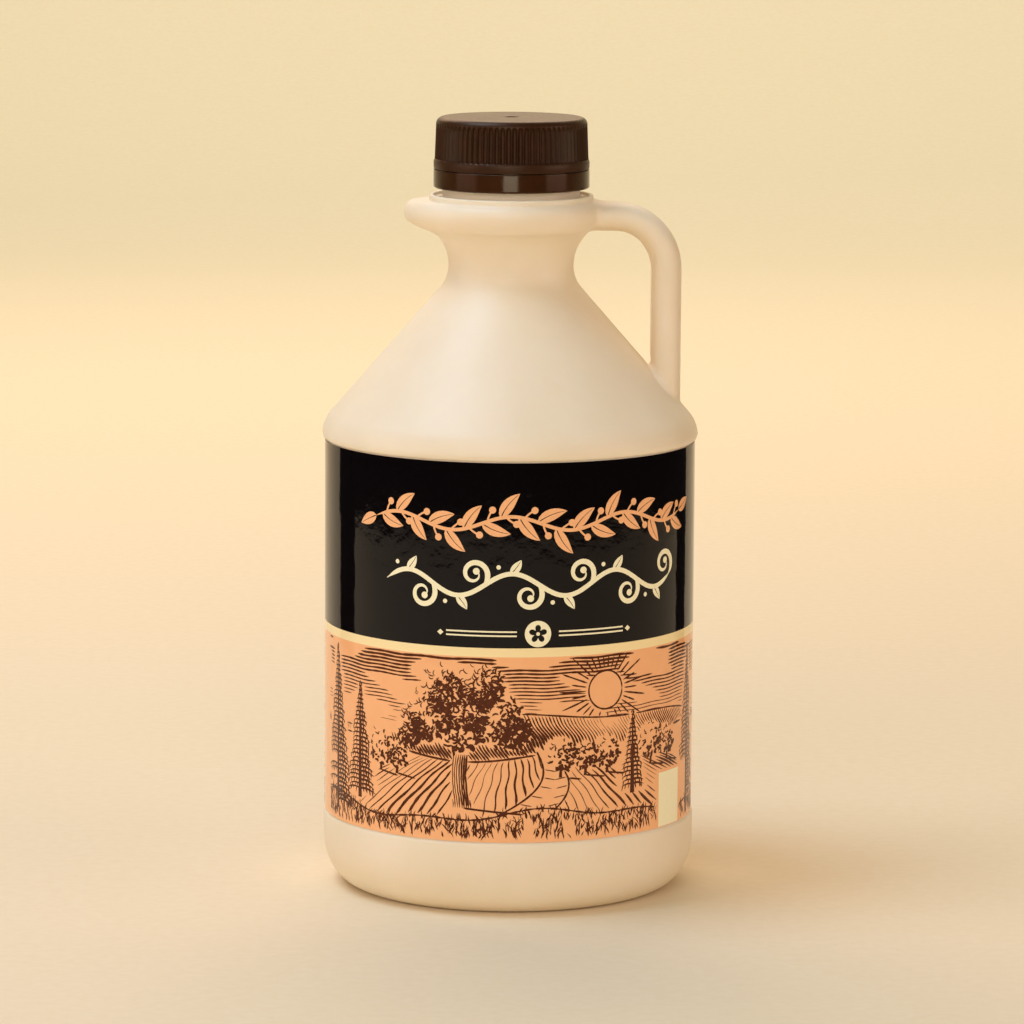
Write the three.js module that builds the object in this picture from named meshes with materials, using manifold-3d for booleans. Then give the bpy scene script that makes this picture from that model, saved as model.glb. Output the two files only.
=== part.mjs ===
// A one-litre syrup jug: a blow-moulded jug with a pouring lip and a loop handle,
// a ribbed screw cap over its neck, the cap's tamper band, and a wrap-round label.
// Millimetres, +Z up. The origin is on the jug's axis, at the surface it stands on.
// The label's front faces -Y, the handle is on +X and the pouring lip on -X.
import * as THREE from "three";
import { mergeVertices } from "three/addons/utils/BufferGeometryUtils.js";
import Module from "manifold-3d";

const wasm = await Module();
wasm.setup();

const deg = Math.PI / 180;
const axisSides = 64; // facets round the jug
const arcSteps = 5; // facets along each rounded stretch of the outline
const heelSteps = 7;
const edgeSteps = 3;

// Driving dimensions of the jug's body
const body = {
  radius: 50.15, // plain wall below the label
  footRadius: 40.4, // outer edge of the ring it stands on
  footInner: 34,
  footRecess: 1.6, // push-up inside that ring
  heelHeight: 13, // the wall rounds under to the foot from here
  panelRadius: 49.5, // the label lies in a shallow panel
  panelLow: 20.1,
  panelHigh: 121.9,
  panelStep: 0.45, // height of the slope at the panel's edges
  shoulderRadius: 50.75,
  shoulderRound: 10,
  coneAngle: 41.1 * deg, // between the cone and the upright axis
};

// Driving dimensions of the neck and of the collar that carries the pouring lip
const neck = {
  waistRadius: 16.7,
  waistHeight: 168.3,
  upperRound: 12.5, // waist to collar
  collarRadius: 24.1,
  collarAngle: 52.4 * deg, // where the waist's hollow turns into the collar's bulge
  collarLowerRound: 5.9,
  collarUpperRound: 3.4,
  ringRadius: 22.0, // raised ring on the collar
  ringSeat: 186.1,
  ringTop: 187.6,
  ringRound: 0.5,
  finishRadius: 18.6, // plain stub under the cap
  finishTop: 205.6,
};

const lip = { reach: 4.6, halfAngle: 52 * deg, low: 175.8, full: 181.3 };

const handle = {
  outer: 45.75, // outer face of the upright run
  top: 185.7, // top face of the level run
  thick: 7.75, // in the plane of the loop
  wide: 14,
  bend: 14.1, // radius of the corner, on the centreline
  rootX: 14, // the level run starts inside the neck
  rootZ: 126, // the upright run ends inside the shoulder
  steps: 26,
  sides: 18,
};

const band = { low: 189.4, high: 194.25, outer: 20.85, inner: 19.1, round: 0.4 };

const capSize = {
  low: 194.65,
  shelfTop: 197.3, // plain ring under the ribs
  ribTop: 206.4,
  top: 208.6,
  shelfRadius: 20.9,
  ribRadius: 20.65, // over the ribs, at their foot
  ribDepth: 0.5,
  ribs: 80,
  ribTaper: 0.35, // the cap narrows this much up to the ribs' top
  edgeRound: 2.0,
  shelfEdge: 0.3, // slope on the shelf's rim
  ribRoot: 1.0, // the ribs run this far down into the shelf
  coreInset: 0.5, // the core keeps this far behind the ribs' hollows
  bore: 19.0,
  crown: 2.4, // thickness of the top
};

const labelSize = {
  inner: 49.8,
  outer: 50.0,
  low: 20.6,
  high: 121.6,
  gapFrom: -3 * deg, // bare strip under the handle
  gapTo: 17 * deg,
  sides: 56,
};

const finishes = {
  jug: { color: 0xe8d3ad, roughness: 0.45, metalness: 0 },
  cap: { color: 0x35190f, roughness: 0.35, metalness: 0 },
  tamper_band: { color: 0x2f160d, roughness: 0.2, metalness: 0 },
  label: { color: 0x1a1416, roughness: 0.15, metalness: 0 },
};

const smoothstep = (low, high, x) => THREE.MathUtils.smoothstep(x, low, high);

// A closed geometry as a solid for joining and cutting
function solidOf(geometry) {
  const bare = new THREE.BufferGeometry();
  bare.setAttribute("position", geometry.getAttribute("position"));
  bare.setIndex(geometry.index);
  const merged = mergeVertices(bare, 1e-3);
  return new wasm.Manifold(
    new wasm.Mesh({
      numProp: 3,
      vertProperties: merged.getAttribute("position").array,
      triVerts: new Uint32Array(merged.index.array),
    }),
  );
}

function geometryOf(solid) {
  const mesh = solid.getMesh();
  const geometry = new THREE.BufferGeometry();
  geometry.setAttribute("position", new THREE.BufferAttribute(mesh.vertProperties, 3));
  geometry.setIndex(new THREE.BufferAttribute(mesh.triVerts, 1));
  geometry.computeVertexNormals();
  return geometry;
}

// Turns an outline of radius and height round the upright axis
function turned(outline, sides = axisSides) {
  return new THREE.LatheGeometry(outline, sides).rotateX(Math.PI / 2);
}

// Points of an arc from angle a to angle b, in the plane of radius and height.
// A rise other than the radius makes it part of an ellipse.
function arc(centreR, centreZ, radius, a, b, steps = arcSteps, rise = radius) {
  const points = [];
  for (let i = 0; i <= steps; i++) {
    const angle = a + ((b - a) * i) / steps;
    points.push(
      new THREE.Vector2(centreR + radius * Math.cos(angle), centreZ + rise * Math.sin(angle)),
    );
  }
  return points;
}

// Half of the jug's outline, from the middle of the foot to the middle of the neck's top
function jugOutline() {
  const at = (r, z) => new THREE.Vector2(r, z);
  const b = body;
  const n = neck;
  const heelOut = b.radius - b.footRadius;
  const heel = arc(b.footRadius, b.heelHeight, heelOut, -90 * deg, 0, heelSteps, b.heelHeight);
  const shoulderMid = b.shoulderRadius - b.shoulderRound;
  const shoulder = arc(shoulderMid, b.panelHigh + b.panelStep, b.shoulderRound, 0, b.coneAngle);
  const coneFoot = shoulder[shoulder.length - 1];
  const coneAtWaist = coneFoot.x - Math.tan(b.coneAngle) * (n.waistHeight - coneFoot.y);
  // the hollow that runs smoothly from the cone into the waist
  const lowerRound = (n.waistRadius - coneAtWaist) / (1 / Math.cos(b.coneAngle) - 1);
  const waistLow = arc(
    n.waistRadius + lowerRound,
    n.waistHeight,
    lowerRound,
    180 * deg + b.coneAngle,
    180 * deg,
  );
  const waistHigh = arc(
    n.waistRadius + n.upperRound,
    n.waistHeight,
    n.upperRound,
    180 * deg,
    180 * deg - n.collarAngle,
  );
  const turn = waistHigh[waistHigh.length - 1];
  const collarZ = turn.y + n.collarLowerRound * Math.sin(n.collarAngle);
  const collarLow = arc(
    n.collarRadius - n.collarLowerRound,
    collarZ,
    n.collarLowerRound,
    -n.collarAngle,
    0,
  );
  const upperMid = n.collarRadius - n.collarUpperRound;
  const seatAngle = Math.acos((n.ringRadius - upperMid) / n.collarUpperRound);
  const collarHigh = arc(upperMid, collarZ, n.collarUpperRound, 0, seatAngle);
  const ringEdge = arc(
    n.ringRadius - n.ringRound,
    n.ringTop - n.ringRound,
    n.ringRound,
    0,
    90 * deg,
    edgeSteps,
  );
  return [
    at(0, b.footRecess),
    at(b.footInner - b.footRecess, b.footRecess),
    at(b.footInner, 0),
    ...heel,
    at(b.radius, b.panelLow - b.panelStep),
    at(b.panelRadius, b.panelLow),
    at(b.panelRadius, b.panelHigh),
    ...shoulder,
    ...waistLow,
    ...waistHigh.slice(1),
    ...collarLow.slice(1),
    ...collarHigh.slice(1, -1),
    at(n.ringRadius, n.ringSeat),
    ...ringEdge,
    at(n.finishRadius, n.ringTop),
    at(n.finishRadius, n.finishTop),
    at(0, n.finishTop),
  ];
}

// Draws the collar out towards -X into the pouring lip
function pullLip(geometry) {
  const position = geometry.getAttribute("position");
  for (let i = 0; i < position.count; i++) {
    const x = position.getX(i);
    const y = position.getY(i);
    const z = position.getZ(i);
    const radius = Math.hypot(x, y);
    if (radius === 0 || z >= neck.ringSeat) continue;
    const away = Math.atan2(Math.abs(y), -x) / lip.halfAngle;
    if (away >= 1) continue;
    const share = Math.cos((away * Math.PI) / 2) ** 2 * smoothstep(lip.low, lip.full, z);
    const grow = 1 + (lip.reach * share) / radius;
    position.setXY(i, x * grow, y * grow);
  }
  return geometry;
}

// The centreline of the handle: out from the collar, round the corner and down to the shoulder
class HandleLine extends THREE.Curve {
  getPoint(t, target = new THREE.Vector3()) {
    const x = handle.outer - handle.thick / 2;
    const z = handle.top - handle.thick / 2;
    const level = x - handle.bend - handle.rootX;
    const corner = (handle.bend * Math.PI) / 2;
    const upright = z - handle.bend - handle.rootZ;
    const s = t * (level + corner + upright);
    if (s < level) return target.set(handle.rootX + s, 0, z);
    if (s > level + corner) return target.set(x, 0, z - handle.bend - (s - level - corner));
    const angle = (s - level) / handle.bend;
    return target.set(
      x - handle.bend + handle.bend * Math.sin(angle),
      0,
      z - handle.bend + handle.bend * Math.cos(angle),
    );
  }
}

function handleSolid() {
  const section = new THREE.Shape();
  const across = handle.thick / 2;
  section.absellipse(0, 0, across, handle.wide / 2, 0, 2 * Math.PI, false, 0);
  const geometry = new THREE.ExtrudeGeometry(section, {
    curveSegments: handle.sides,
    steps: handle.steps,
    bevelEnabled: false,
    extrudePath: new HandleLine(),
  });
  return solidOf(geometry);
}

function jug() {
  const turnedBody = solidOf(pullLip(turned(jugOutline())));
  return geometryOf(turnedBody.add(handleSolid()));
}

// Outline of the ribbed skirt seen from above
function ribbedOutline() {
  const shape = new THREE.Shape();
  const pitch = (2 * Math.PI) / capSize.ribs;
  const crest = capSize.ribRadius;
  const root = capSize.ribRadius - capSize.ribDepth;
  const corners = [
    [0, root],
    [0.45, root],
    [0.72, crest],
  ];
  for (let i = 0; i < capSize.ribs; i++) {
    for (const [share, radius] of corners) {
      const angle = (i + share) * pitch;
      const x = radius * Math.cos(angle);
      const y = radius * Math.sin(angle);
      if (i === 0 && share === 0) shape.moveTo(x, y);
      else shape.lineTo(x, y);
    }
  }
  shape.closePath();
  return shape;
}

function ribbedSkirt() {
  const low = capSize.shelfTop - capSize.ribRoot;
  const geometry = new THREE.ExtrudeGeometry(ribbedOutline(), {
    depth: capSize.ribTop - low,
    steps: 1,
    bevelEnabled: false,
  }).translate(0, 0, low);
  const position = geometry.getAttribute("position");
  for (let i = 0; i < position.count; i++) {
    const up = (position.getZ(i) - capSize.shelfTop) / (capSize.ribTop - capSize.shelfTop);
    const grow = 1 - (capSize.ribTaper * up) / capSize.ribRadius;
    position.setXY(i, position.getX(i) * grow, position.getY(i) * grow);
  }
  return solidOf(geometry);
}

function cap() {
  const c = capSize;
  const crownRadius = c.ribRadius - c.ribTaper - c.ribDepth / 2;
  const coreRadius = crownRadius - c.coreInset;
  const crownLow = c.ribTop - c.shelfEdge;
  const below = c.low - c.ribRoot;
  const core = [
    new THREE.Vector2(0, c.low),
    new THREE.Vector2(c.shelfRadius, c.low),
    new THREE.Vector2(c.shelfRadius, c.shelfTop - c.shelfEdge),
    new THREE.Vector2(c.shelfRadius - c.shelfEdge, c.shelfTop),
    new THREE.Vector2(coreRadius, c.shelfTop),
    new THREE.Vector2(coreRadius, crownLow),
    new THREE.Vector2(crownRadius, crownLow),
    ...arc(crownRadius - c.edgeRound, c.top - c.edgeRound, c.edgeRound, 0, 90 * deg),
    new THREE.Vector2(0, c.top),
  ];
  const bore = [
    new THREE.Vector2(0, below),
    new THREE.Vector2(c.bore, below),
    new THREE.Vector2(c.bore, c.top - c.crown),
    new THREE.Vector2(0, c.top - c.crown),
  ];
  const outside = solidOf(turned(core)).add(ribbedSkirt());
  return geometryOf(outside.subtract(solidOf(turned(bore))));
}

// The ring that stays on the neck when the cap is first turned
function tamperBand() {
  const b = band;
  const outline = [
    new THREE.Vector2(b.inner, b.low),
    new THREE.Vector2(b.outer - b.round, b.low),
    new THREE.Vector2(b.outer, b.low + b.round),
    new THREE.Vector2(b.outer, b.high - b.round / 2),
    new THREE.Vector2(b.outer - b.round / 2, b.high),
    new THREE.Vector2(b.inner, b.high),
    new THREE.Vector2(b.inner, b.low),
  ];
  return turned(outline);
}

// A thin sheet round the body, open in a strip under the handle
function label() {
  const l = labelSize;
  const start = l.gapTo;
  const end = 2 * Math.PI + l.gapFrom;
  const plan = new THREE.Shape();
  plan.absarc(0, 0, l.outer, start, end, false);
  plan.absarc(0, 0, l.inner, end, start, true);
  plan.closePath();
  return new THREE.ExtrudeGeometry(plan, {
    depth: l.high - l.low,
    steps: 1,
    bevelEnabled: false,
    curveSegments: l.sides,
  }).translate(0, 0, l.low);
}

const part = new THREE.Group();
for (const [name, make] of Object.entries({ jug, cap, tamper_band: tamperBand, label })) {
  const mesh = new THREE.Mesh(make(), new THREE.MeshStandardMaterial(finishes[name]));
  mesh.name = name;
  part.add(mesh);
}

export default part;
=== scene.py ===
import bmesh
import bpy
import math
import random
from mathutils import Euler, Matrix, Vector


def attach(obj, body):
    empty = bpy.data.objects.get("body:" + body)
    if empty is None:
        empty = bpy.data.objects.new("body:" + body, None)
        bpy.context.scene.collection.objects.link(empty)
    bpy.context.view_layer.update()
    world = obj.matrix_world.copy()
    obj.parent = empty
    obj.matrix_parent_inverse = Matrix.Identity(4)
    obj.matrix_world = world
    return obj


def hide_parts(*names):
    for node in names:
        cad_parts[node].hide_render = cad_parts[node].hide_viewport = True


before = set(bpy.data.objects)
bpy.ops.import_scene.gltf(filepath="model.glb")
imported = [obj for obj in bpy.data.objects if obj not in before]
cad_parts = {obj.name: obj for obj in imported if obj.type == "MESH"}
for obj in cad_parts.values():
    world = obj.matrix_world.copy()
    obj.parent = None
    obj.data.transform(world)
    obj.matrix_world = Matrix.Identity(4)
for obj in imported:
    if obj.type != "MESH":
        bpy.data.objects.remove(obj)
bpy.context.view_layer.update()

mm = 0.001
rad = math.radians
print("frame loaded")


# small helpers for modelling

def startClean():
    # object mode, nothing selected
    if bpy.context.object and bpy.context.object.mode != "OBJECT":
        bpy.ops.object.mode_set(mode="OBJECT")
    bpy.ops.object.select_all(action="DESELECT")


def activate(piece):
    startClean()
    piece.select_set(True)
    bpy.context.view_layer.objects.active = piece


def arc(midR, midZ, radius, fromDeg, toDeg, steps, rise=None):
    # points of an arc in radius and height; another rise makes it an ellipse
    rise = radius if rise is None else rise
    angles = [rad(fromDeg + (toDeg - fromDeg) * i / steps) for i in range(steps + 1)]
    return [(midR + radius * math.cos(a), midZ + rise * math.sin(a)) for a in angles]


def line(fromPoint, toPoint, steps):
    # points between two corners, without the corners themselves
    (r0, z0), (r1, z1) = fromPoint, toPoint
    return [(r0 + (r1 - r0) * i / steps, z0 + (z1 - z0) * i / steps) for i in range(1, steps)]


def latheUp(name, outline, sides):
    # a ring of edges, extruded and scaled along the outline, both ends closed
    startClean()
    r, z = outline[0]
    bpy.ops.mesh.primitive_circle_add(vertices=sides, radius=r * mm, location=(0, 0, 0))
    piece = bpy.context.object
    piece.name = name
    piece.data.name = name
    bpy.ops.object.mode_set(mode="EDIT")
    bpy.ops.mesh.select_all(action="SELECT")
    bpy.ops.transform.translate(value=(0, 0, z * mm))
    for nextR, nextZ in outline[1:]:
        bpy.ops.mesh.extrude_region_move(TRANSFORM_OT_translate={"value": (0, 0, (nextZ - z) * mm)})
        scale = nextR / r
        bpy.ops.transform.resize(value=(scale, scale, 1), center_override=(0, 0, 0))
        r, z = nextR, nextZ
    bpy.ops.mesh.select_all(action="SELECT")
    bpy.ops.mesh.fill_holes(sides=0)
    bpy.ops.mesh.normals_make_consistent(inside=False)
    bpy.ops.object.mode_set(mode="OBJECT")
    return piece


def applyModifier(piece, kind, **values):
    activate(piece)
    modifier = piece.modifiers.new(kind.lower(), kind)
    for key, value in values.items():
        setattr(modifier, key, value)
    bpy.ops.object.modifier_apply(modifier=modifier.name)


def newPiece(name, vertices, faces):
    mesh = bpy.data.meshes.new(name)
    mesh.from_pydata(vertices, [], faces)
    piece = bpy.data.objects.new(name, mesh)
    bpy.context.scene.collection.objects.link(piece)
    activate(piece)
    return piece


def faceOutward(piece):
    activate(piece)
    bpy.ops.object.mode_set(mode="EDIT")
    bpy.ops.mesh.select_all(action="SELECT")
    bpy.ops.mesh.normals_make_consistent(inside=False)
    bpy.ops.object.mode_set(mode="OBJECT")


def smoothByAngle(piece, degrees):
    activate(piece)
    bpy.ops.object.shade_smooth_by_angle(angle=rad(degrees))


def smoothstep(low, high, x):
    # eases from 0 at low to 1 at high; low may be the greater of the two
    t = min(max((x - low) / (high - low), 0), 1)
    return t * t * (3 - 2 * t)


# small helpers for materials

def newMaterial(name):
    material = bpy.data.materials.new(name)
    material.use_nodes = True
    nodes = material.node_tree.nodes
    shader = next(node for node in nodes if node.type == "BSDF_PRINCIPLED")
    coords = nodes.new("ShaderNodeTexCoord").outputs["Object"]
    return material, nodes, material.node_tree.links, shader, coords


def srgb(r, g, b):
    # a colour read off as 0 to 255, as the shader wants it
    def linear(c):
        c = c / 255
        return c / 12.92 if c <= 0.04045 else ((c + 0.055) / 1.055) ** 2.4
    return (linear(r), linear(g), linear(b), 1)


def addNoise(nodes, links, coords, scale, detail=3.0, roughness=0.5):
    noise = nodes.new("ShaderNodeTexNoise")
    noise.inputs["Scale"].default_value = scale
    noise.inputs["Detail"].default_value = detail
    noise.inputs["Roughness"].default_value = roughness
    links.new(coords, noise.inputs["Vector"])
    return noise.outputs["Fac"]


def addRamp(nodes, links, source, stops):
    ramp = nodes.new("ShaderNodeValToRGB")
    links.new(source, ramp.inputs["Fac"])
    for element, (position, color) in zip(ramp.color_ramp.elements, stops):
        element.position, element.color = position, color
    return ramp.outputs["Color"]


def addTone(nodes, links, coords, shader, scale, detail, stops):
    # a base colour that drifts between two tones
    noise = addNoise(nodes, links, coords, scale, detail)
    links.new(addRamp(nodes, links, noise, stops), shader.inputs["Base Color"])


def addRange(nodes, links, source, fromLow, fromHigh, toLow, toHigh):
    node = nodes.new("ShaderNodeMapRange")
    links.new(source, node.inputs["Value"])
    node.inputs["From Min"].default_value = fromLow
    node.inputs["From Max"].default_value = fromHigh
    node.inputs["To Min"].default_value = toLow
    node.inputs["To Max"].default_value = toHigh
    return node.outputs["Result"]


def addBump(nodes, links, height, strength, distance, normal=None):
    bump = nodes.new("ShaderNodeBump")
    bump.inputs["Strength"].default_value = strength
    bump.inputs["Distance"].default_value = distance
    links.new(height, bump.inputs["Height"])
    if normal is not None:
        links.new(normal, bump.inputs["Normal"])
    return bump.outputs["Normal"]


def addAbove(nodes, links, source, limit):
    # 1 where the source is above the limit, 0 elsewhere
    node = nodes.new("ShaderNodeMath")
    node.operation = "GREATER_THAN"
    links.new(source, node.inputs[0])
    node.inputs[1].default_value = limit
    return node.outputs["Value"]


def addMix(nodes, links, factor, first, second):
    node = nodes.new("ShaderNodeMix")
    node.data_type = "RGBA"
    links.new(factor, node.inputs["Factor"])
    for key, value in (("A", first), ("B", second)):
        socket = next(s for s in node.inputs if s.name == key and s.type == "RGBA")
        if isinstance(value, tuple):
            socket.default_value = value
        else:
            links.new(value, socket)
    return next(s for s in node.outputs if s.type == "RGBA")


# camera at the photograph's place

cameraSize = {
    "place": (0.65, -1400, 312),
    "pitch": 8.56,
    "roll": 0.33,
    "lens": 183.8,
}


def makeCamera():
    data = bpy.data.cameras.new("camera")
    data.lens = cameraSize["lens"]
    data.sensor_width = 36
    data.sensor_fit = "HORIZONTAL"
    data.clip_start = 0.01
    camera = bpy.data.objects.new("camera", data)
    bpy.context.scene.collection.objects.link(camera)
    camera.location = Vector(cameraSize["place"]) * mm
    turn = Euler((rad(90 - cameraSize["pitch"]), 0, 0)).to_matrix()
    turn = turn @ Matrix.Rotation(rad(cameraSize["roll"]), 3, "Z")
    camera.rotation_euler = turn.to_euler()
    bpy.context.scene.camera = camera


makeCamera()
print("camera placed")


# the blow-moulded jug

jugSize = {
    "sides": 192,
    "radius": 50.15,
    "footRadius": 40.4, "footInner": 34, "footRecess": 1.6, "heelHeight": 13,
    "panelRadius": 49.7, "panelLow": 20.3, "panelHigh": 121.9, "panelStep": 0.45,
    "shoulderRadius": 50.64, "shoulderRound": 10, "coneAngle": 41.1,
    "waistRadius": 16.7, "waistHeight": 168.3, "upperRound": 12.5,
    "collarRadius": 24.1, "collarAngle": 52.4, "collarLower": 5.9, "collarUpper": 3.4,
    "ringRadius": 22.0, "ringSeat": 186.1, "ringTop": 187.6, "ringRound": 0.5,
    "finishRadius": 18.5, "finishTop": 205.6, "grooveDeep": 0.9,
}
lipSize = {"reach": 4.6, "halfAngle": 52, "low": 175.8, "full": 181.3}
handleSize = {
    "outer": 45.75, "top": 185.7, "thick": 7.75, "wide": 14, "bend": 14.1,
    "square": 2.35,                    # 2 is an ellipse, more is boxier
    "rootX": 18, "rootZ": 128, "sides": 48,
    "sink": 0.06,
    "collarFillets": (0.9, 2.2),       # under the loop, on top of it
    "coneFillets": (2.4, 0.6),         # inside the loop, outside it
}
seamSize = {
    "half": 0.24, "foot": 0.5, "proud": 0.1,
    "inside": 0.4,                     # the flash left within the loop
}


def jugOutline():
    s = jugSize
    out = [(2, s["footRecess"])]
    out += line(out[-1], (s["footInner"] - 3, s["footRecess"]), 6)
    out += arc(s["footInner"] - 3, s["footRecess"] - 1.2, 1.2, 90, 25, 4)
    out += arc(s["footInner"] + 1.0, 1.2, 1.2, 205, 270, 4)
    out += line(out[-1], (s["footRadius"], 0), 3)
    out += arc(s["footRadius"], s["heelHeight"], s["radius"] - s["footRadius"], -90, 0, 18, s["heelHeight"])
    out.append((s["radius"], s["panelLow"] - s["panelStep"] - 0.3))
    out.append((s["radius"] - 0.08, s["panelLow"] - s["panelStep"]))
    out.append((s["panelRadius"] + 0.04, s["panelLow"]))
    out.append((s["panelRadius"], s["panelLow"] + 0.4))
    out += line(out[-1], (s["panelRadius"], s["panelHigh"]), 14)
    out.append((s["panelRadius"], s["panelHigh"] - 0.4))
    out.append((s["panelRadius"] + 0.08, s["panelHigh"] - 0.05))
    out.append((s["shoulderRadius"] - 0.3, s["panelHigh"] + s["panelStep"] - 0.15))
    shoulderMid = s["shoulderRadius"] - s["shoulderRound"]
    shoulder = arc(shoulderMid, s["panelHigh"] + s["panelStep"], s["shoulderRound"], 4, s["coneAngle"], 12)
    coneFoot = shoulder[-1]
    slope = math.tan(rad(s["coneAngle"]))
    coneAtWaist = coneFoot[0] - slope * (s["waistHeight"] - coneFoot[1])
    lowerRound = (s["waistRadius"] - coneAtWaist) / (1 / math.cos(rad(s["coneAngle"])) - 1)
    low = arc(s["waistRadius"] + lowerRound, s["waistHeight"], lowerRound, 180 + s["coneAngle"], 180, 12)
    out += shoulder + line(coneFoot, low[0], 30) + low
    high = arc(s["waistRadius"] + s["upperRound"], s["waistHeight"], s["upperRound"],
               180, 180 - s["collarAngle"], 16)
    out += high[1:]
    collarZ = high[-1][1] + s["collarLower"] * math.sin(rad(s["collarAngle"]))
    lowerMid = s["collarRadius"] - s["collarLower"]
    out += arc(lowerMid, collarZ, s["collarLower"], -s["collarAngle"], 0, 12)[1:]
    upperMid = s["collarRadius"] - s["collarUpper"]
    seatAngle = math.degrees(math.acos((s["ringRadius"] + 0.35 - upperMid) / s["collarUpper"]))
    out += arc(upperMid, collarZ, s["collarUpper"], 0, seatAngle, 10)[1:]
    out += [(s["ringRadius"] + 0.12, s["ringSeat"]), (s["ringRadius"], s["ringSeat"] + 0.25)]
    out += arc(s["ringRadius"] - s["ringRound"], s["ringTop"] - s["ringRound"], s["ringRound"], 0, 90, 5)
    groove = s["ringTop"] - s["grooveDeep"]
    out += [(21.0, s["ringTop"] - 0.08), (20.4, groove + 0.15), (19.8, groove), (18.9, groove)]
    out += [(s["finishRadius"], groove + 0.3), (s["finishRadius"], s["finishTop"] - 0.6)]
    out += [(s["finishRadius"] - 0.6, s["finishTop"]), (2, s["finishTop"])]
    return out


def pullLip(piece):
    # the collar is drawn out towards -X into the pouring lip
    for vertex in piece.data.vertices:
        x, y, z = vertex.co / mm
        away = math.atan2(abs(y), -x) / rad(lipSize["halfAngle"])
        if z >= jugSize["ringSeat"] or z < lipSize["low"] or away >= 1:
            continue
        share = math.cos(away * math.pi / 2) ** 2 * smoothstep(lipSize["low"], lipSize["full"], z)
        grow = 1 + lipSize["reach"] * share / math.hypot(x, y)
        vertex.co.x *= grow
        vertex.co.y *= grow


def handleStations():
    # centre and heading of each ring, close together at both roots
    s = handleSize
    x = s["outer"] - s["thick"] / 2
    z = s["top"] - s["thick"] / 2
    stations = []
    along = s["rootX"]
    while along < x - s["bend"]:
        stations.append((along, z, 0))
        along += 0.35 if along < 29 else 0.9
    turns = 20
    midX, midZ = x - s["bend"], z - s["bend"]
    for i in range(turns + 1):
        a = rad(90) * i / turns
        stations.append((midX + s["bend"] * math.sin(a), midZ + s["bend"] * math.cos(a), a))
    down = midZ - 1.2
    while down > s["rootZ"]:
        stations.append((x, down, rad(90)))
        down -= 1.2 if down > 146 else 0.35
    return stations


def flare(distance, radius):
    # how far a fillet of that radius stands out, this far from the wall
    reach = radius - max(distance, 0)
    return radius - math.sqrt(radius * radius - reach * reach) if reach > 0 else 0


def wallBeside(outline, place):
    # distance from the jug's wall, in mm, and the wall's direction outwards
    r, z = math.hypot(place.x, place.y), place.z
    best = None
    for (r0, z0), (r1, z1) in zip(outline, outline[1:]):
        along = Vector((r1 - r0, z1 - z0))
        if along.length < 1e-6:
            continue
        t = min(max(((r - r0) * along.x + (z - z0) * along.y) / along.length_squared, 0), 1)
        away = Vector((r - r0 - along.x * t, z - z0 - along.y * t))
        if best is None or away.length < best[0]:
            out = Vector((along.y, -along.x)).normalized()
            best = (away.length, math.copysign(away.length, away.dot(out)), out)
    out = best[2]
    return best[1], Vector((out.x * place.x / r, out.x * place.y / r, out.y))


def makeHandle(outline):
    s = handleSize
    startClean()
    stations = handleStations()
    bpy.ops.mesh.primitive_circle_add(vertices=s["sides"], radius=1)
    handle = bpy.context.object
    handle.name = "handle"
    bpy.ops.object.mode_set(mode="EDIT")
    bpy.ops.mesh.select_all(action="SELECT")
    for i in range(len(stations) - 1):
        bpy.ops.mesh.extrude_region_move(TRANSFORM_OT_translate={"value": (0, 0, 1)})
    bpy.ops.mesh.select_all(action="SELECT")
    bpy.ops.mesh.fill_holes(sides=0)
    bpy.ops.object.mode_set(mode="OBJECT")
    # each ring of the tube goes to its station on the loop
    upper = [point for point in outline if point[1] > jugSize["panelHigh"]]
    power = 2 / s["square"]
    for vertex in handle.data.vertices:
        across, wide, step = vertex.co
        x, z, heading = stations[round(step)]
        size = math.copysign(abs(across) ** power, across) * s["thick"] / 2
        side = math.copysign(abs(wide) ** power, wide) * s["wide"] / 2
        outward = Vector((math.sin(heading), 0, math.cos(heading)))
        place = Vector((x, 0, z)) + outward * size + Vector((0, side, 0))
        nearRoot = x < 31 if heading < rad(45) else z < 150
        gap, out = wallBeside(upper, place) if nearRoot else (99, outward)
        inner, outer = s["collarFillets"] if heading < rad(45) else s["coneFillets"]
        fillet = inner + (outer - inner) * (across + 1) / 2
        if -s["sink"] * 6 < gap < fillet:
            # a fillet where the tube runs into the wall: out along the wall, at the same distance from it
            push = (outward * across / s["thick"] + Vector((0, wide / s["wide"], 0))).normalized()
            slide = (push - out * push.dot(out)).normalized()
            place += slide * flare(gap + s["sink"], fillet)
            for again in range(2):
                now, out = wallBeside(upper, place)
                place += out * (gap - now)
        vertex.co = place * mm
    faceOutward(handle)
    return handle


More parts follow.
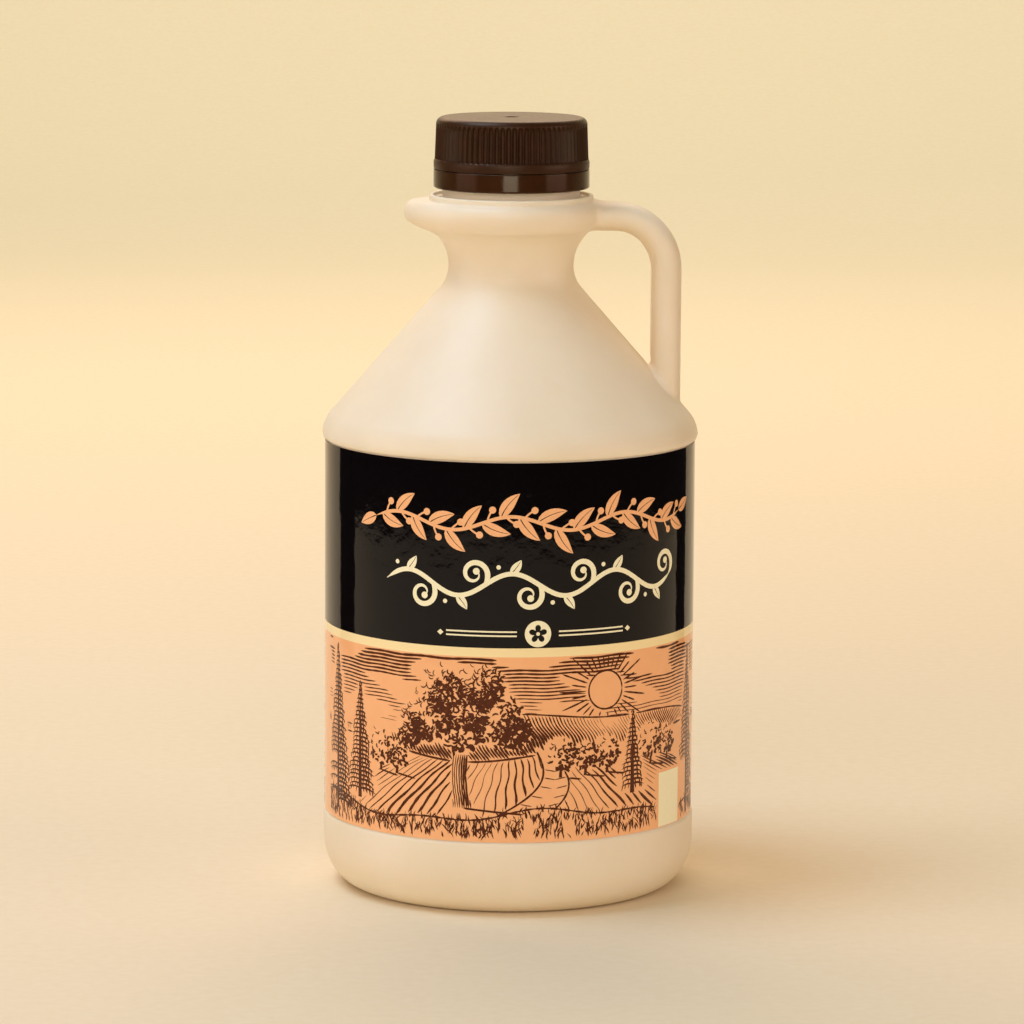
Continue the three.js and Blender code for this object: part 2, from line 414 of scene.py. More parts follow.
def raiseSeam(piece):
    # the mould's parting line runs round the jug in the plane of the handle
    activate(piece)
    bpy.ops.object.mode_set(mode="EDIT")
    for y in (-seamSize["foot"], -seamSize["half"], 0, seamSize["half"], seamSize["foot"]):
        bpy.ops.mesh.select_all(action="SELECT")
        bpy.ops.mesh.bisect(plane_co=(0, y * mm, 0), plane_no=(0, 1, 0))
    bpy.ops.mesh.select_all(action="DESELECT")
    mesh = bmesh.from_edit_mesh(piece.data)
    seam = [v for v in mesh.verts if abs(v.co.y) < (seamSize["half"] + 0.01) * mm]
    moves = []
    for vertex in seam:
        x, y, z = vertex.co / mm
        out = Vector((vertex.normal.x, 0, vertex.normal.z)).normalized()
        proud = seamSize["proud"] * smoothstep(jugSize["ringTop"] - 0.3, jugSize["ringTop"] - 1.6, z)
        proud *= smoothstep(jugSize["footRecess"], jugSize["footRecess"] + 1.5, z)
        if out.x * (x - 31) + out.z * (z - 165) < 0:
            flash = smoothstep(34, 37.5, x) * smoothstep(142.5, 145, z)
            proud += (seamSize["inside"] - proud) * flash
        moves.append(out * proud * mm)
    for vertex, move in zip(seam, moves):
        vertex.co += move
    bmesh.update_edit_mesh(piece.data)
    bpy.ops.mesh.select_all(action="SELECT")
    bpy.ops.mesh.remove_doubles(threshold=0.000001)
    bpy.ops.object.mode_set(mode="OBJECT")


def makeJug():
    outline = jugOutline()
    jug = latheUp("jugShell", outline, jugSize["sides"])
    pullLip(jug)
    handle = makeHandle(outline)
    applyModifier(jug, "BOOLEAN", object=handle, operation="UNION", solver="EXACT")
    bpy.data.objects.remove(handle)
    raiseSeam(jug)
    smoothByAngle(jug, 32)
    return jug


jug = makeJug()
print("jug modelled", len(jug.data.polygons), "faces")


# the ribbed screw cap and its tamper band

capSize = {
    "low": 194.55, "shelfTop": 197.15, "ribTop": 205.95, "top": 208.3,
    "shelfRadius": 20.9, "ribRadius": 20.62, "ribTaper": 0.33,
    "ribs": 80, "perRib": 8, "ribDepth": 0.72, "edgeRound": 1.9,
    "bore": 19.0, "crown": 2.4, "gateRadius": 1.85, "gateDepth": 0.35,
}
ribShape = [0, 0.3, 0.85, 1, 1, 1, 0.85, 0.3]  # from crest to hollow and back
bandSize = {
    "low": 189.4, "high": 194.38, "outer": 20.95, "inner": 19.1, "round": 0.45, "sides": 192,
    "score": 0.14, "scoreDeep": 0.8,   # the thin web left at the bottom of the score cut under the cap
}


def makeCap():
    c = capSize
    topRadius = c["ribRadius"] - c["ribTaper"]
    outline = [(0.6, c["top"] - c["crown"]), (c["bore"], c["top"] - c["crown"]), (c["bore"], c["low"])]
    outline += [(c["shelfRadius"] - 0.25, c["low"]), (c["shelfRadius"] - 0.05, c["low"] + 0.1)]
    outline += [(c["shelfRadius"], c["low"] + 0.3), (c["shelfRadius"] + 0.02, c["shelfTop"] - 0.75)]
    outline += [(c["shelfRadius"] - 0.03, c["shelfTop"] - 0.5)]
    outline += [(c["ribRadius"] + 0.02, c["shelfTop"] - 0.02), (c["ribRadius"], c["shelfTop"] + 0.05)]
    outline += line(outline[-1], (topRadius, c["ribTop"]), 12)
    outline += [(topRadius, c["ribTop"])]
    outline += arc(topRadius - c["edgeRound"], c["top"] - c["edgeRound"], c["edgeRound"], 0, 90, 12)
    outline += [(17.4, c["top"]), (9, c["top"]), (c["gateRadius"] + 0.35, c["top"])]
    outline += [(c["gateRadius"] + 0.12, c["top"] - 0.05), (c["gateRadius"], c["top"] - c["gateDepth"])]
    outline += [(0.6, c["top"] - c["gateDepth"] * 0.8)]
    cap = latheUp("ribbedCap", outline, c["ribs"] * c["perRib"])
    # hollows between the ribs, ending in a pointed arch under the rounded edge
    pitch = 2 * math.pi / c["ribs"]
    for vertex in cap.data.vertices:
        x, y, z = vertex.co / mm
        radius = math.hypot(x, y)
        if z < c["shelfTop"] or radius < c["bore"] + 0.5:
            continue
        share = (math.atan2(y, x) / pitch) % 1
        hollow = ribShape[round(share * c["perRib"]) % c["perRib"]]
        end = c["ribTop"] - 0.5 + 1.5 * hollow
        depth = c["ribDepth"] * hollow * (1 - smoothstep(end - 0.7, end, z))
        grow = 1 - depth / radius
        vertex.co.x *= grow
        vertex.co.y *= grow
    smoothByAngle(cap, 40)
    return cap


def makeBand():
    b = bandSize
    low, high, out = b["low"], b["high"], b["outer"]
    outline = [(b["inner"], low + 0.3), (b["inner"] + 0.3, low)]
    outline += arc(out - b["round"], low + b["round"], b["round"], -90, 0, 6)
    outline += [(out, low + b["round"] + 0.12), (out, (low + high) / 2), (out, high - 0.32)]
    outline += arc(out - 0.18, high - 0.18, 0.18, 0, 90, 4)
    web = out - b["scoreDeep"]
    outline += [(web, high), (web, high + b["score"]), (b["inner"], high + b["score"])]
    band = latheUp("tamperBand", outline, b["sides"])
    # latheUp closes the bore with two discs: they go, and the bore's wall comes in
    activate(band)
    bpy.ops.object.mode_set(mode="EDIT")
    bpy.ops.mesh.select_mode(type="FACE")
    bpy.ops.mesh.select_all(action="DESELECT")
    bpy.ops.mesh.select_face_by_sides(number=4, type="GREATER")
    bpy.ops.mesh.delete(type="ONLY_FACE")
    bpy.ops.mesh.select_mode(type="EDGE")
    bpy.ops.mesh.select_non_manifold()
    bpy.ops.mesh.bridge_edge_loops()
    bpy.ops.mesh.select_all(action="SELECT")
    bpy.ops.mesh.normals_make_consistent(inside=False)
    bpy.ops.mesh.select_mode(type="VERT")
    bpy.ops.object.mode_set(mode="OBJECT")
    smoothByAngle(band, 40)
    return band


cap = makeCap()
tamperBand = makeBand()
print("cap and band modelled")


# the wrap-round label

labelSize = {
    "inner": 49.86, "outer": 50.0, "low": 20.6, "high": 121.6,
    "gapFrom": -3, "gapTo": 17,        # bare strip, degrees from +X
    "corner": 2.2, "columns": 260, "rows": 40,
    "stripeLow": 70.2, "stripeHigh": 72.6,
}
mapWide, mapTall = 320, 160            # the label's map covers this many millimetres


def frontAngle(u):
    # angle from +X of a point u millimetres to the right of the front's middle line
    return rad(-90) + u / labelSize["outer"]


def wrapPoint(u, z, radius):
    angle = frontAngle(u)
    return Vector((radius * math.cos(angle), radius * math.sin(angle), z)) * mm


labelRight = rad(labelSize["gapFrom"] + 90) * labelSize["outer"]
labelLeft = rad(labelSize["gapTo"] - 270) * labelSize["outer"]


def makeLabel():
    l = labelSize
    startClean()
    bpy.ops.mesh.primitive_grid_add(x_subdivisions=l["columns"], y_subdivisions=l["rows"], size=2)
    label = bpy.context.object
    label.name = "labelSheet"
    label.data.name = "labelSheet"
    uvs = label.data.uv_layers.active
    uvs.name = "labelMap"
    half = (labelRight - labelLeft) / 2
    middle = (labelRight + labelLeft) / 2
    tall = (l["high"] - l["low"]) / 2
    flat = []
    for vertex in label.data.vertices:
        u = vertex.co.x * half
        # columns gather at the ends, where the corners are rounded
        end = half - abs(u)
        tight = l["corner"] * 2.5
        if end < tight:
            end = tight * (end / tight) ** 2
            u = math.copysign(half - end, u)
        cut = 0
        if end < l["corner"]:
            reach = l["corner"] - end
            cut = l["corner"] - math.sqrt(l["corner"] ** 2 - reach ** 2)
        z = l["low"] + tall + vertex.co.y * (tall - cut)
        flat.append((middle + u, z))
    for vertex, (u, z) in zip(label.data.vertices, flat):
        vertex.co = wrapPoint(u, z, l["inner"])
    for loop in label.data.loops:
        u, z = flat[loop.vertex_index]
        uvs.data[loop.index].uv = (u / mapWide + 0.75, z / mapTall)
    faceOutward(label)
    faceOut = label.data.polygons[len(label.data.polygons) // 2]
    if faceOut.normal.dot(faceOut.center) < 0:
        label.data.flip_normals()
    applyModifier(label, "SOLIDIFY", thickness=(l["outer"] - l["inner"]) * mm, offset=1,
                  material_offset_rim=1)
    smoothByAngle(label, 40)
    return label


label = makeLabel()
print("label modelled")


# the printed design: ink laid on the label as thin strokes, in millimetres round and up the label

printSize = {
    "lift": 0.018, "liftSpread": 0.02, "thick": 0.05,
    "repeat": (labelRight - labelLeft) / 2,  # the design comes twice round the jug
    "seed": 7,
}
garlandSize = {
    "from": -39, "to": 56, "middle": 105.6, "wave": 1.9, "waveLong": 31.7,
    "leaf": 8.4, "leafWide": 3.0, "leaves": 19,
}
tendrilSize = {
    "from": -35, "to": 51, "middle": 89.4, "bends": 6, "wave": 3.0,
    "thick": 1.25, "curl": 3.9, "turn": 8.6,
}
badgeSize = {
    "u": 7.7, "z": 76.4, "radius": 3.5,
    "ruleNear": 5.6, "ruleFar": 24.5, "ruleApart": 0.55, "ruleThick": 0.42,
}
boxSize = {"u": (46.8, 57.4), "z": (20.75, 35.5)}
pictureSize = {"left": -64.5, "right": 72.5, "low": 20.7, "high": 70.0}

inks = {"peach": [], "cream": [], "brown": []}
draw = random.Random(printSize["seed"])


def lay(ink, points, widths, across=1):
    # one stroke of ink along the points, as wide as given at each
    inks[ink].append((points, widths, across))


def tapered(count, width, start=0.3, end=0.3):
    # widths that thin out towards both ends of a stroke
    out = []
    for i in range(count):
        t = i / (count - 1)
        lead = min(t / start, 1) if start else 1
        tail = min((1 - t) / end, 1) if end else 1
        out.append(width * max(math.sin(min(lead, tail) * math.pi / 2), 0.12))
    return out


def curl(u, z, heading, length, bend, count=6):
    # points of a stroke that sets off in a heading and turns as it goes
    points = [(u, z)]
    for i in range(count - 1):
        h = heading + bend * (i + 0.5) / (count - 1)
        step = length / (count - 1)
        points.append((points[-1][0] + step * math.cos(h), points[-1][1] + step * math.sin(h)))
    return points


def layDisc(ink, u, z, radius, strips=9):
    # a filled round, laid as one broad stroke
    points, widths = [], []
    for i in range(strips + 1):
        a = math.pi * i / strips
        points.append((u - radius * math.cos(a), z))
        widths.append(max(2 * radius * math.sin(a), 0.04))
    lay(ink, points, widths, 3)


def layLeaf(ink, u, z, heading, length, wide, bend):
    # two halves with the vein left open between them
    spine = curl(u, z, heading, length, bend, 9)
    for side in (-1, 1):
        points, widths = [], []
        for i, (pu, pz) in enumerate(spine):
            t = i / (len(spine) - 1)
            half = wide / 2 * math.sin(math.pi * t ** 0.8) ** 0.9 if 0 < t < 1 else 0
            vein = 0.04 + 0.09 * (1 - t)
            h = heading + bend * t
            shift = side * (vein + half / 2)
            points.append((pu - math.sin(h) * shift, pz + math.cos(h) * shift))
            widths.append(max(half, 0.06))
        lay(ink, points, widths, 2)


def drawGarland():
    g = garlandSize

    def stem(u):
        turn = 2 * math.pi * (u - g["from"]) / g["waveLong"]
        slope = g["wave"] * 2 * math.pi / g["waveLong"] * math.cos(turn)
        return g["middle"] + g["wave"] * math.sin(turn), math.atan(slope)

    count = 80
    along = [g["from"] + (g["to"] - g["from"]) * i / count for i in range(count + 1)]
    lay("peach", [(u, stem(u)[0]) for u in along], tapered(count + 1, 0.95, 0.06, 0.06))
    leaves = g["leaves"]
    for i in range(leaves):
        u = g["from"] + 2.5 + (g["to"] - g["from"] - 7) * i / (leaves - 1)
        z, slope = stem(u)
        side = 1 if i % 2 else -1
        size = 1 - 0.22 * abs(i / (leaves - 1) - 0.5)
        layLeaf("peach", u, z, slope + side * 0.98, g["leaf"] * size, g["leafWide"], -side * 0.55)
        # a berry on a short stalk across from each leaf
        stalk = curl(u + 1.4, stem(u + 1.4)[0], slope - side * 1.05, 3.4, side * 0.5)
        lay("peach", stalk, tapered(6, 0.5, 0, 0.2))
        layDisc("peach", stalk[-1][0], stalk[-1][1], 0.95, 7)
    for u, heading in ((g["to"], stem(g["to"])[1]), (g["from"], stem(g["from"])[1] + math.pi)):
        layLeaf("peach", u, stem(u)[0], heading, 6.5, 3.0, 0.1)


def layLozenge(ink, u, z, wide, tall):
    lay(ink, [(u - wide / 2, z), (u, z), (u + wide / 2, z)], [0.06, tall, 0.06], 2)


def drawTendrils():
    # a waving stem with a tendril curled up in each of its bends
    t = tendrilSize
    half = (t["to"] - t["from"]) / t["bends"]
    count = 96
    stem = []
    for i in range(count + 1):
        u = t["from"] + (t["to"] - t["from"]) * i / count
        stem.append((u, t["middle"] + t["wave"] * math.sin(math.pi * (u - t["from"]) / half)))
    lay("cream", stem, tapered(count + 1, t["thick"], 0.05, 0.05))
    for bend in range(t["bends"]):
        up = 1 if bend % 2 == 0 else -1
        u = t["from"] + half * (bend + 0.93)
        z = t["middle"] + up * t["wave"] * math.sin(math.pi * 0.93)
        heading = -up * math.atan(t["wave"] * math.pi / half)
        points, steps = [(u, z)], 44
        for k in range(steps):
            h = heading - up * t["turn"] * (k + 0.5) / steps
            step = t["curl"] * (1 - 0.8 * k / steps) * t["turn"] / steps
            points.append((points[-1][0] + step * math.cos(h), points[-1][1] + step * math.sin(h)))
        lay("cream", points, tapered(steps + 1, t["thick"] * 1.15, 0.12, 0.9))
        layDisc("cream", points[-1][0], points[-1][1], 0.9, 8)
        # a leaf set back to back with the tendril, and a dot beside it
        at = t["from"] + half * (bend + 0.5)
        top = t["middle"] + up * t["wave"]
        layLeaf("cream", at - 0.4, top, up * 0.75, 4.6, 2.2, up * 0.35)
        layDisc("cream", at - 3.6, top + up * 1.7, 0.6, 6)


def drawBadge():
    # a round with a five-petalled flower left open in it, between two pairs of fine rules
    b = badgeSize

    def edge(a):
        petal = 0.8 + 1.65 * abs(math.cos(2.5 * (a - math.pi / 2))) ** 0.7
        inner = (b["u"] + petal * math.cos(a), b["z"] + petal * math.sin(a))
        return inner, (b["u"] + b["radius"] * math.cos(a), b["z"] + b["radius"] * math.sin(a))

    steps = 90
    for i in range(steps):
        (i0, o0), (i1, o1) = edge(2 * math.pi * i / steps), edge(2 * math.pi * (i + 1) / steps)
        lay("cream", [i0, o0, o1, i1], None, 0)
    layDisc("cream", b["u"], b["z"], 0.5, 6)
    for side in (-1, 1):
        near, far = b["u"] + side * b["ruleNear"], b["u"] + side * b["ruleFar"]
        count = 20
        for dz in (b["ruleApart"], -b["ruleApart"]):
            points = [(near + (far - near) * i / count, b["z"] + dz) for i in range(count + 1)]
            lay("cream", points, [b["ruleThick"]] * (count + 1))
        layLozenge("cream", far + side * 1.6, b["z"], 1.7, 1.5)


def drawBox():
    # a plain pale field low on the right
    (u0, u1), (z0, z1) = boxSize["u"], boxSize["z"]
    count = 8
    points = [(u0 + (u1 - u0) * i / count, (z0 + z1) / 2) for i in range(count + 1)]
    lay("cream", points, [z1 - z0] * (count + 1), 3)


# the engraved landscape: what stands in front hides what is behind it

# rounds are place across, place up and radius
crownLobes = [
    (-13, 58, 8.5), (-22, 53.5, 7), (-4, 54, 7.4), (-18, 61.5, 6),
    (-7, 62, 5.8), (-13, 51.5, 7), (-27, 50, 4.6), (1, 50.3, 4.6),
]
bushSet = [
    (14, 44, 4.6), (21, 43.2, 3.6), (27.5, 44, 4.2), (43, 45.2, 5.0),
    (50.5, 44.6, 4.2), (-37, 44, 5.0), (-31.5, 42.2, 3.4),
]
# firs are place across, foot, height and half width
firSet = [(-57.5, 25, 43.5, 9.5), (-45.5, 30, 30, 7.0), (64, 24, 44, 9.0), (36, 33, 21, 5.0)]
sunSize = {"u": 27, "z": 60.5, "radius": 5}


def bankTop(u):
    return 27.4 + 1.6 * math.sin(u / 13 + 0.6) + 0.8 * math.sin(u / 5.1)


def nearHill(u):
    return 45.2 + 2.4 * math.sin(u / 21 - 1.1) + 0.7 * math.sin(u / 8)


def farHill(u):
    return 51.2 + 3.6 * math.sin(u / 25 + 0.9) + 1.2 * math.sin(u / 9.5 + 2)


def streamHalf(z):
    return 1.2 + (45 - z) * 0.33


def streamMiddle(z):
    return 8 + 7.5 * math.sin((z - 26) / 6.2) - (45 - z) * 0.35


def inRound(u, z, rounds):
    return any((u - a) ** 2 + (z - b) ** 2 < r * r for a, b, r in rounds)


def inTrunk(u, z):
    half = 1.9 + 1.8 * math.exp(-(z - 29.5) / 2.2)
    return 29.5 < z < 50 and abs(u + 12.6 - 0.5 * math.sin(z / 3.5)) < half


def inFir(u, z):
    for foot, low, tall, half in firSet:
        t = (z - low) / tall
        if 0 < t < 1 and abs(u - foot) < half * (1 - t) ** 0.85:
            return True
    return False


def inBox(u, z):
    (u0, u1), top = boxSize["u"], boxSize["z"][1]
    return u0 - 0.7 < u < u1 + 0.7 and z < top + 0.7


def groundAt(u, z):
    if inBox(u, z):
        return "box"
    if inFir(u, z):
        return "fir"
    if z < bankTop(u):
        return "bank"
    if inRound(u, z, crownLobes):
        return "crown"
    if inTrunk(u, z):
        return "trunk"
    if inRound(u, z, bushSet):
        return "bush"
    if z < 45.5 and abs(u - streamMiddle(z)) < streamHalf(z):
        return "stream"
    if z < nearHill(u):
        return "field"
    if z < farHill(u):
        return "hill"
    if (u - sunSize["u"]) ** 2 + (z - sunSize["z"]) ** 2 < sunSize["radius"] ** 2:
        return "sun"
    return "sky"


def inPicture(u, z):
    s = pictureSize
    return s["left"] < u < s["right"] and s["low"] + 0.2 < z < s["high"] - 0.2


def engrave(path, ground, tone, spacing):
    # a ruled line that swells with the tone and stops where another thing begins
    run = []
    for u, z in path:
        dark = tone(u, z) if inPicture(u, z) and groundAt(u, z) == ground else 0
        dark *= draw.uniform(0.75, 1.15)
        if dark > 0.1:
            run.append((u, z, min(dark, 0.96) * spacing))
            continue
        layRun(run)
        run = []
    layRun(run)


def layRun(run):
    if len(run) > 2:
        widths = [w for u, z, w in run]
        widths[0] *= 0.3
        widths[-1] *= 0.3
        lay("brown", [(u, z) for u, z, w in run], widths)


def cloud(u, z):
    # slow blotches that open gaps in the ruled sky
    return 0.5 + 0.5 * math.sin(u * 0.16 + 1.3 * math.sin(z * 0.31)) * math.sin(z * 0.42 + u * 0.045)


def fromSun(radius, angle):
    return sunSize["u"] + radius * math.cos(angle), sunSize["z"] + radius * math.sin(angle)


def drawSky():
    def tone(u, z):
        return (0.12 + 0.024 * (z - 52)) * (1.3 if cloud(u, z) > 0.42 else 0)

    z = pictureSize["low"] + 26
    while z < pictureSize["high"]:
        path = [(u * 1.5 + draw.uniform(-0.2, 0.2), z + 0.12 * math.sin(u * 0.7)) for u in range(-44, 50)]
        engrave(path, "sky", tone, 0.95)
        z += 0.95
    rays = 34
    for i in range(rays):
        near = sunSize["radius"] + 1.0
        far = near + (7.5 if i % 2 else 4.2)
        steps = 7
        path = [fromSun(near + (far - near) * k / steps, 2 * math.pi * i / rays) for k in range(steps + 1)]
        engrave(path, "sky", lambda u, z: 0.62, 0.75)
    ring = [fromSun(sunSize["radius"] * 1.03, i / 36 * 2 * math.pi) for i in range(37)]
    engrave(ring, "sky", lambda u, z: 0.7, 0.7)


def drawHills():
    def tone(u, z):
        return 0.28 + 0.5 * smoothstep(2.2, 8, farHill(u) - z) + 0.18 * math.sin(u / 6)

    edge = [(u * 1.2, farHill(u * 1.2) - 0.1) for u in range(-54, 62)]
    engrave(edge, "hill", lambda u, z: 0.75, 0.6)
    lean = 0.62
    for i in range(-95, 100):
        # slanting rules down the far hills
        u0 = i * 0.92
        path = [(u0 + 0.7 * k * lean + 0.25 * math.sin(k * 0.7), 56.5 - 0.7 * k) for k in range(24)]
        engrave(path, "hill", tone, 0.85)
    edge = [(u * 1.2, nearHill(u * 1.2) - 0.1) for u in range(-54, 62)]
    engrave(edge, "field", lambda u, z: 0.85, 0.7)


def drawFields():
    # furrows that run together towards a point on the skyline
    for i in range(-62, 63):
        far = 2 + i * 1.0
        near = 2 + i * 3.1
        path = []
        for k in range(22):
            t = k / 21
            z = 46.5 - 20.5 * t ** 1.25
            path.append((far + (near - far) * t + 0.25 * math.sin(k * 0.9 + i), z))
        patch = 0.5 + 0.5 * math.sin(i * 0.55 + 0.8)
        tone = 0.2 + 0.5 * patch
        engrave(path, "field", lambda u, z: tone * (0.65 + 0.5 * smoothstep(44, 28, z)), 1.05)
    for z in (31, 33.2, 35.7, 38, 40.2, 42.4):
        # ripples on the stream, darker along its banks
        for side in (-1, 1):
            start = streamMiddle(z) + side * streamHalf(z)
            path = [(start - side * 0.6 * k, z - 0.12 * k) for k in range(1, 7)]
            engrave(path, "stream", lambda u, z: 0.55 - 0.05 * abs(u - start), 0.6)
    for side in (-1, 1):
        heights = [k * 0.5 for k in range(52, 91)]
        path = [(streamMiddle(z) + side * (streamHalf(z) - 0.15), z) for z in heights]
        engrave(path, "stream", lambda u, z: 0.9, 0.6)


def drawLeafage(rounds, ground, number, longest):
    # leaves in little hooked strokes, darkest low on the right of each round
    for i in range(number):
        a, b, r = rounds[draw.randrange(len(rounds))]
        turn, out = draw.uniform(0, 2 * math.pi), math.sqrt(draw.random())
        u, z = a + r * out * math.cos(turn), b + r * out * math.sin(turn)
        if groundAt(u, z) != ground or not inPicture(u, z):
            continue
        shade = 0.5 + 0.5 * ((u - a) * 0.62 - (z - b) * 0.85) / r
        if draw.random() > 0.25 + 0.85 * shade:
            continue
        heading = turn + math.pi / 2 + draw.uniform(-0.5, 0.5)
        length = draw.uniform(0.6, 1) * longest
        points = curl(u, z, heading, length, draw.choice((-1, 1)) * draw.uniform(1.2, 2.6), 5)
        lay("brown", points, tapered(5, 0.22 + 0.62 * shade, 0.35, 0.35))


def drawTree():
    for k in range(15):
        # bark in long uneven strokes
        start = -16.8 + k * 0.6
        heights = [29.6 + j * 1.1 for j in range(20)]
        path = [(start + 0.5 * math.sin(z / 3.5) + draw.uniform(-0.1, 0.1), z) for z in heights]
        engrave(path, "trunk", lambda u, z: 0.45 + 0.5 * smoothstep(-14, -11, u), 0.62)
    drawLeafage(crownLobes, "crown", 1500, 2.3)
    drawLeafage(bushSet, "bush", 700, 1.5)
    for a, b, r in bushSet:
        # short stem and the shade on the ground
        lay("brown", [(a, b - r - 1.6), (a + 0.1, b - r + 0.6)], [0.9, 0.7])
        for k in range(6):
            u = a + k * 0.75
            z = b - r - 1.5 - 0.12 * k
            if groundAt(u, z) == "field":
                lay("brown", curl(u, z, -0.1, 2.2, 0.0, 4), tapered(4, 0.5))
    for k in range(16):
        u, z = -12 + k * 0.9, 29.6 - 0.08 * k
        lay("brown", curl(u, z, -0.12, 2.6, 0, 4), tapered(4, 0.55))


def drawFirs():
    # boughs that droop to both sides, short needles hanging off them
    for foot, low, tall, half in firSet:
        lay("brown", [(foot, low - 1.2), (foot, low + tall * 0.5), (foot, low + tall)], [1.5, 0.9, 0.2])
        rows = int(tall / 1.15)
        for row in range(rows):
            t = (row + 0.5) / rows
            z = low + tall * t
            reach = half * (1 - t) ** 0.85
            for side in (-1, 1):
                long = reach * draw.uniform(0.75, 1.05)
                bough = curl(foot, z + 0.6, (0.25 if side > 0 else math.pi - 0.25), long, -side * 0.75, 6)
                if any(inBox(*p) for p in bough) or not all(inPicture(*p) for p in bough):
                    continue
                lay("brown", bough, tapered(6, 0.62 if side > 0 else 0.45, 0, 0.5))
                needles = max(int(long / 0.95), 1)
                for k in range(needles):
                    at = bough[min(int((k + 0.5) / needles * 5), 5)]
                    shade = 0.5 if side > 0 else 0.3
                    drop = curl(at[0] + draw.uniform(-0.3, 0.3), at[1], -math.pi / 2 + side * 0.5,
                                draw.uniform(0.8, 1.7), -side * 0.4, 4)
                    if all(inPicture(*p) and not inBox(*p) for p in drop):
                        lay("brown", drop, tapered(4, shade, 0.1, 0.5))


def drawBank():
    # grass in the foreground, blade by blade
    for i in range(1250):
        u = draw.uniform(pictureSize["left"] + 0.8, pictureSize["right"] - 0.8)
        deep = draw.random()
        z = pictureSize["low"] + 0.3 + (bankTop(u) - pictureSize["low"] - 0.6) * deep
        clump = 0.5 + 0.5 * math.sin(u * 0.55 + 2.4 * math.sin(u * 0.13)) * math.cos(z * 0.8)
        if draw.random() > 0.3 + 0.75 * clump:
            continue
        heading = math.pi / 2 + draw.uniform(-0.5, 0.5)
        length = draw.uniform(1.2, 3.4) * (1.2 - 0.4 * deep)
        blade = curl(u, z, heading, length, draw.uniform(-0.9, 0.9), 4)
        if all(inPicture(*p) and not inBox(*p) for p in blade):
            lay("brown", blade, tapered(4, draw.uniform(0.25, 0.55), 0.05, 0.7))
    edge = [(u, bankTop(u)) for u in range(-64, 73)]
    run = [(u, z, 0.3 + 0.35 * math.sin(u * 0.9) ** 2) for u, z in edge if not inBox(u, z)]
    layRun([r for r in run if r[0] < 46])
    layRun([r for r in run if r[0] > 58])


def makePrint(name, strokes):
    # the strokes become one thin mesh, wrapped round the front of the label
    p = printSize
    vertices, faces = [], []
    for number, (points, widths, across) in enumerate(strokes):
        # strokes laid one after another lie at different heights
        radius = labelSize["outer"] + p["lift"] + p["liftSpread"] * (number * 0.618034 % 1)
        first = len(vertices)
        if across == 0:
            # a single patch, given by its corners
            vertices += [wrapPoint(u, z, radius) for u, z in points]
            faces.append(tuple(first + k for k in range(len(points))))
            continue
        last = len(points) - 1
        for i, (u, z) in enumerate(points):
            (ua, za), (ub, zb) = points[max(i - 1, 0)], points[min(i + 1, last)]
            long = math.hypot(ub - ua, zb - za) or 1
            du, dz = (ub - ua) / long, (zb - za) / long
            for k in range(across + 1):
                off = widths[i] * (0.5 - k / across)
                vertices.append(wrapPoint(u - dz * off, z + du * off, radius))
        row = across + 1
        for i in range(last):
            for k in range(across):
                a = first + i * row + k
                faces.append((a, a + 1, a + row + 1, a + row))
    piece = newPiece(name, vertices, faces)
    bpy.ops.object.mode_set(mode="EDIT")
    bpy.ops.mesh.select_all(action="SELECT")
    bpy.ops.mesh.remove_doubles(threshold=0.0000002)
    bpy.ops.object.mode_set(mode="OBJECT")
    applyModifier(piece, "SOLIDIFY", thickness=p["thick"] * mm, offset=-1)
    print(name, "printed,", sum(len(f.vertices) - 2 for f in piece.data.polygons), "triangles")
    return piece


def repeatBehind(piece, name):
    # the same print again, turned to the back of the jug
    activate(piece)
    bpy.ops.object.duplicate()
    copy = bpy.context.object
    copy.name = name
    copy.data.name = name
    copy.data.transform(Matrix.Rotation(-printSize["repeat"] / labelSize["outer"], 4, "Z"))
    return copy


drawGarland()
drawTendrils()
drawBadge()
drawBox()
drawSky()
drawHills()
drawFields()
drawTree()
drawFirs()
drawBank()
printFront = {ink: makePrint("print" + ink.capitalize(), strokes) for ink, strokes in inks.items()}
printBack = {ink: repeatBehind(piece, piece.name + "Back") for ink, piece in printFront.items()}


# finishes

labelGloss = {"Roughness": 0.06, "IOR": 1.33}


def makeJugCream():
    material, nodes, links, shader, coords = newMaterial("jugCream")
    stops = [(0.3, srgb(238, 222, 190)), (0.7, srgb(243, 228, 199))]
    addTone(nodes, links, coords, shader, 45, 3, stops)
    shader.inputs["Subsurface Weight"].default_value = 0.25
    shader.inputs["Subsurface Radius"].default_value = (1.0, 0.62, 0.32)
    shader.inputs["Subsurface Scale"].default_value = 0.003
    fine = addNoise(nodes, links, coords, 1600, 4, 0.6)
    links.new(addRange(nodes, links, fine, 0.3, 0.7, 0.4, 0.5), shader.inputs["Roughness"])
    wave = addNoise(nodes, links, coords, 70, 2)
    soft = addBump(nodes, links, wave, 0.1, 0.0008)
    links.new(addBump(nodes, links, fine, 0.06, 0.0002, soft), shader.inputs["Normal"])
    shader.inputs["IOR"].default_value = 1.5
    return material


def makeCapBrown(name, low, high, bumpStrength):
    material, nodes, links, shader, coords = newMaterial(name)
    stops = [(0.3, srgb(46, 21, 6)), (0.7, srgb(55, 26, 8))]
    addTone(nodes, links, coords, shader, 220, 4, stops)
    fine = addNoise(nodes, links, coords, 2200, 4, 0.6)
    links.new(addRange(nodes, links, fine, 0.3, 0.7, low, high), shader.inputs["Roughness"])
    links.new(addBump(nodes, links, fine, bumpStrength, 0.0002), shader.inputs["Normal"])
    shader.inputs["IOR"].default_value = 1.36
    # painted reflection colour: the reflections are tinted warm, as if the cap and band mirrored golden
    # surroundings
    shader.inputs["Specular Tint"].default_value = (1, 0.86, 0.62, 1)
    return material


